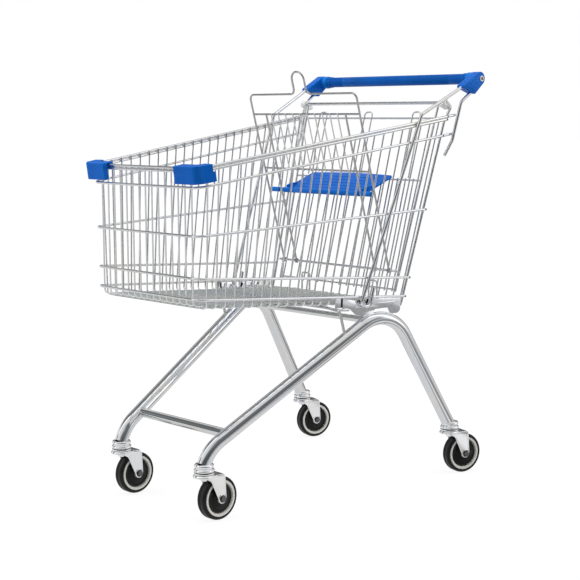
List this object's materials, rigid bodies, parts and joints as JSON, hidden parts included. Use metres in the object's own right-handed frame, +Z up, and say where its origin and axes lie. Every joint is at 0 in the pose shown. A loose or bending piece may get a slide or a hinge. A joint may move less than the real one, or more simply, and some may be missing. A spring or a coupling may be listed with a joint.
{
  "type": "basket trolley",
  "caption": "Wire basket trolley on bent tube legs, with a swing-up rear gate, a folding child seat, corner bumpers, a push handle and swivel casters.",
  "frame": {"origin": "on the floor, in the frame's middle plane and below the middle of the trolley's length; the right rear caster rests swivelled outwards, so the box's own middle lies a few mm to the right", "axes": "+X to the right hand of someone looking at the nose from ahead with the handle behind, -Y towards the nose, +Y towards the handle, +Z up"},
  "size_m": [0.5928, 0.8695, 1.009],
  "materials": {
    "bright_wire": "bright zinc plating, slightly satin",
    "zinc_frame": "zinc plated, satin",
    "zinc_caster": "zinc plated pressed steel",
    "blue_plastic": "semi-gloss moulded blue",
    "clip_plastic": "milky white moulded",
    "wheel_plastic": "off-white moulded",
    "guard_plastic": "black moulded",
    "tyre_rubber": "matt black elastic rubber"
  },
  "bodies": {
    "cart": {"side_tube_right": "zinc_frame", "side_tube_left": "zinc_frame", "front_cross_tube": "zinc_frame", "upper_cross_bar": "zinc_frame", "support_struts": "zinc_frame", "side_plate_right": "zinc_frame", "side_plate_left": "zinc_frame", "caster_collars": "zinc_caster", "swivel_stems": "zinc_caster", "top_rim": "bright_wire", "hoop_upper": "bright_wire", "hoop_middle": "bright_wire", "hoop_lower": "bright_wire", "hoop_bottom": "bright_wire", "side_mesh_right": "bright_wire", "side_mesh_left": "bright_wire", "front_mesh": "bright_wire", "floor_mesh": "bright_wire", "floor_end_bar": "zinc_frame", "rear_post_right": "bright_wire", "rear_post_left": "bright_wire", "handle_front_rod_right": "bright_wire", "handle_front_rod_left": "bright_wire", "handle_rear_rod_right": "bright_wire", "handle_rear_rod_left": "bright_wire", "handle_tube": "bright_wire", "handle_sleeve": "blue_plastic", "handle_cap_right": "blue_plastic", "handle_cap_left": "blue_plastic", "bumper_right": "blue_plastic", "bumper_left": "blue_plastic", "hinge_clip_right": "clip_plastic", "hinge_clip_left": "clip_plastic"},
    "moving_gate": {"gate_frame": "bright_wire", "gate_mesh": "bright_wire", "gate_leg_wires": "bright_wire"},
    "moving_seat_back": {"seat_back_frame": "bright_wire", "seat_back_mesh": "bright_wire"},
    "moving_seat_plate": {"seat_plate": "blue_plastic"},
    "swivelling_caster_front_right": {"fork_front_right": "zinc_caster", "axle_front_right": "zinc_caster"},
    "rolling_wheel_front_right": {"tyre_front_right": "tyre_rubber", "wheel_front_right": "wheel_plastic", "cover_front_right": "guard_plastic"},
    "swivelling_caster_front_left": {"fork_front_left": "zinc_caster", "axle_front_left": "zinc_caster"},
    "rolling_wheel_front_left": {"tyre_front_left": "tyre_rubber", "wheel_front_left": "wheel_plastic", "cover_front_left": "guard_plastic"},
    "swivelling_caster_rear_right": {"fork_rear_right": "zinc_caster", "axle_rear_right": "zinc_caster"},
    "rolling_wheel_rear_right": {"tyre_rear_right": "tyre_rubber", "wheel_rear_right": "wheel_plastic", "cover_rear_right": "guard_plastic"},
    "swivelling_caster_rear_left": {"fork_rear_left": "zinc_caster", "axle_rear_left": "zinc_caster"},
    "rolling_wheel_rear_left": {"tyre_rear_left": "tyre_rubber", "wheel_rear_left": "wheel_plastic", "cover_rear_left": "guard_plastic"}
  },
  "joints": [
    {"name": "gate_hinge", "type": "hinge", "parent": "cart", "child": "moving_gate", "pos_m": [0, 0.324, 0.93], "axis": [-1, 0, 0], "range_deg": [0, 75]},
    {"name": "seat_back_hinge", "type": "hinge", "parent": "moving_gate", "child": "moving_seat_back", "pos_m": [0, 0.19037, 0.52203], "axis": [-1, 0, 0], "range_deg": [0, 29.5]},
    {"name": "seat_plate_hinge", "type": "hinge", "parent": "moving_seat_back", "child": "moving_seat_plate", "pos_m": [0, 0.13832, 0.71099], "axis": [1, 0, 0], "range_deg": [0, 82]},
    {"name": "swivel_front_right", "type": "hinge", "parent": "cart", "child": "swivelling_caster_front_right", "pos_m": [0.153, -0.38, 0.11], "axis": [0, 0, 1], "continuous": true},
    {"name": "roll_front_right", "type": "hinge", "parent": "swivelling_caster_front_right", "child": "rolling_wheel_front_right", "pos_m": [0.153, -0.343, 0.05], "axis": [1, 0, 0], "continuous": true},
    {"name": "swivel_front_left", "type": "hinge", "parent": "cart", "child": "swivelling_caster_front_left", "pos_m": [-0.153, -0.38, 0.11], "axis": [0, 0, 1], "continuous": true},
    {"name": "roll_front_left", "type": "hinge", "parent": "swivelling_caster_front_left", "child": "rolling_wheel_front_left", "pos_m": [-0.153, -0.343, 0.05], "axis": [1, 0, 0], "continuous": true},
    {"name": "swivel_rear_right", "type": "hinge", "parent": "cart", "child": "swivelling_caster_rear_right", "pos_m": [0.267, 0.332, 0.11], "axis": [0, 0, 1], "continuous": true},
    {"name": "roll_rear_right", "type": "hinge", "parent": "swivelling_caster_rear_right", "child": "rolling_wheel_rear_right", "pos_m": [0.2772, 0.36757, 0.05], "axis": [0.9613, -0.2756, 0], "continuous": true},
    {"name": "swivel_rear_left", "type": "hinge", "parent": "cart", "child": "swivelling_caster_rear_left", "pos_m": [-0.267, 0.332, 0.11], "axis": [0, 0, 1], "continuous": true},
    {"name": "roll_rear_left", "type": "hinge", "parent": "swivelling_caster_rear_left", "child": "rolling_wheel_rear_left", "pos_m": [-0.25742, 0.36774, 0.05], "axis": [0.9659, -0.2588, 0], "continuous": true}
  ],
  "couplings": [
    {"joint": "seat_plate_hinge", "follows": "seat_back_hinge", "ratio": 2.78}
  ]
}
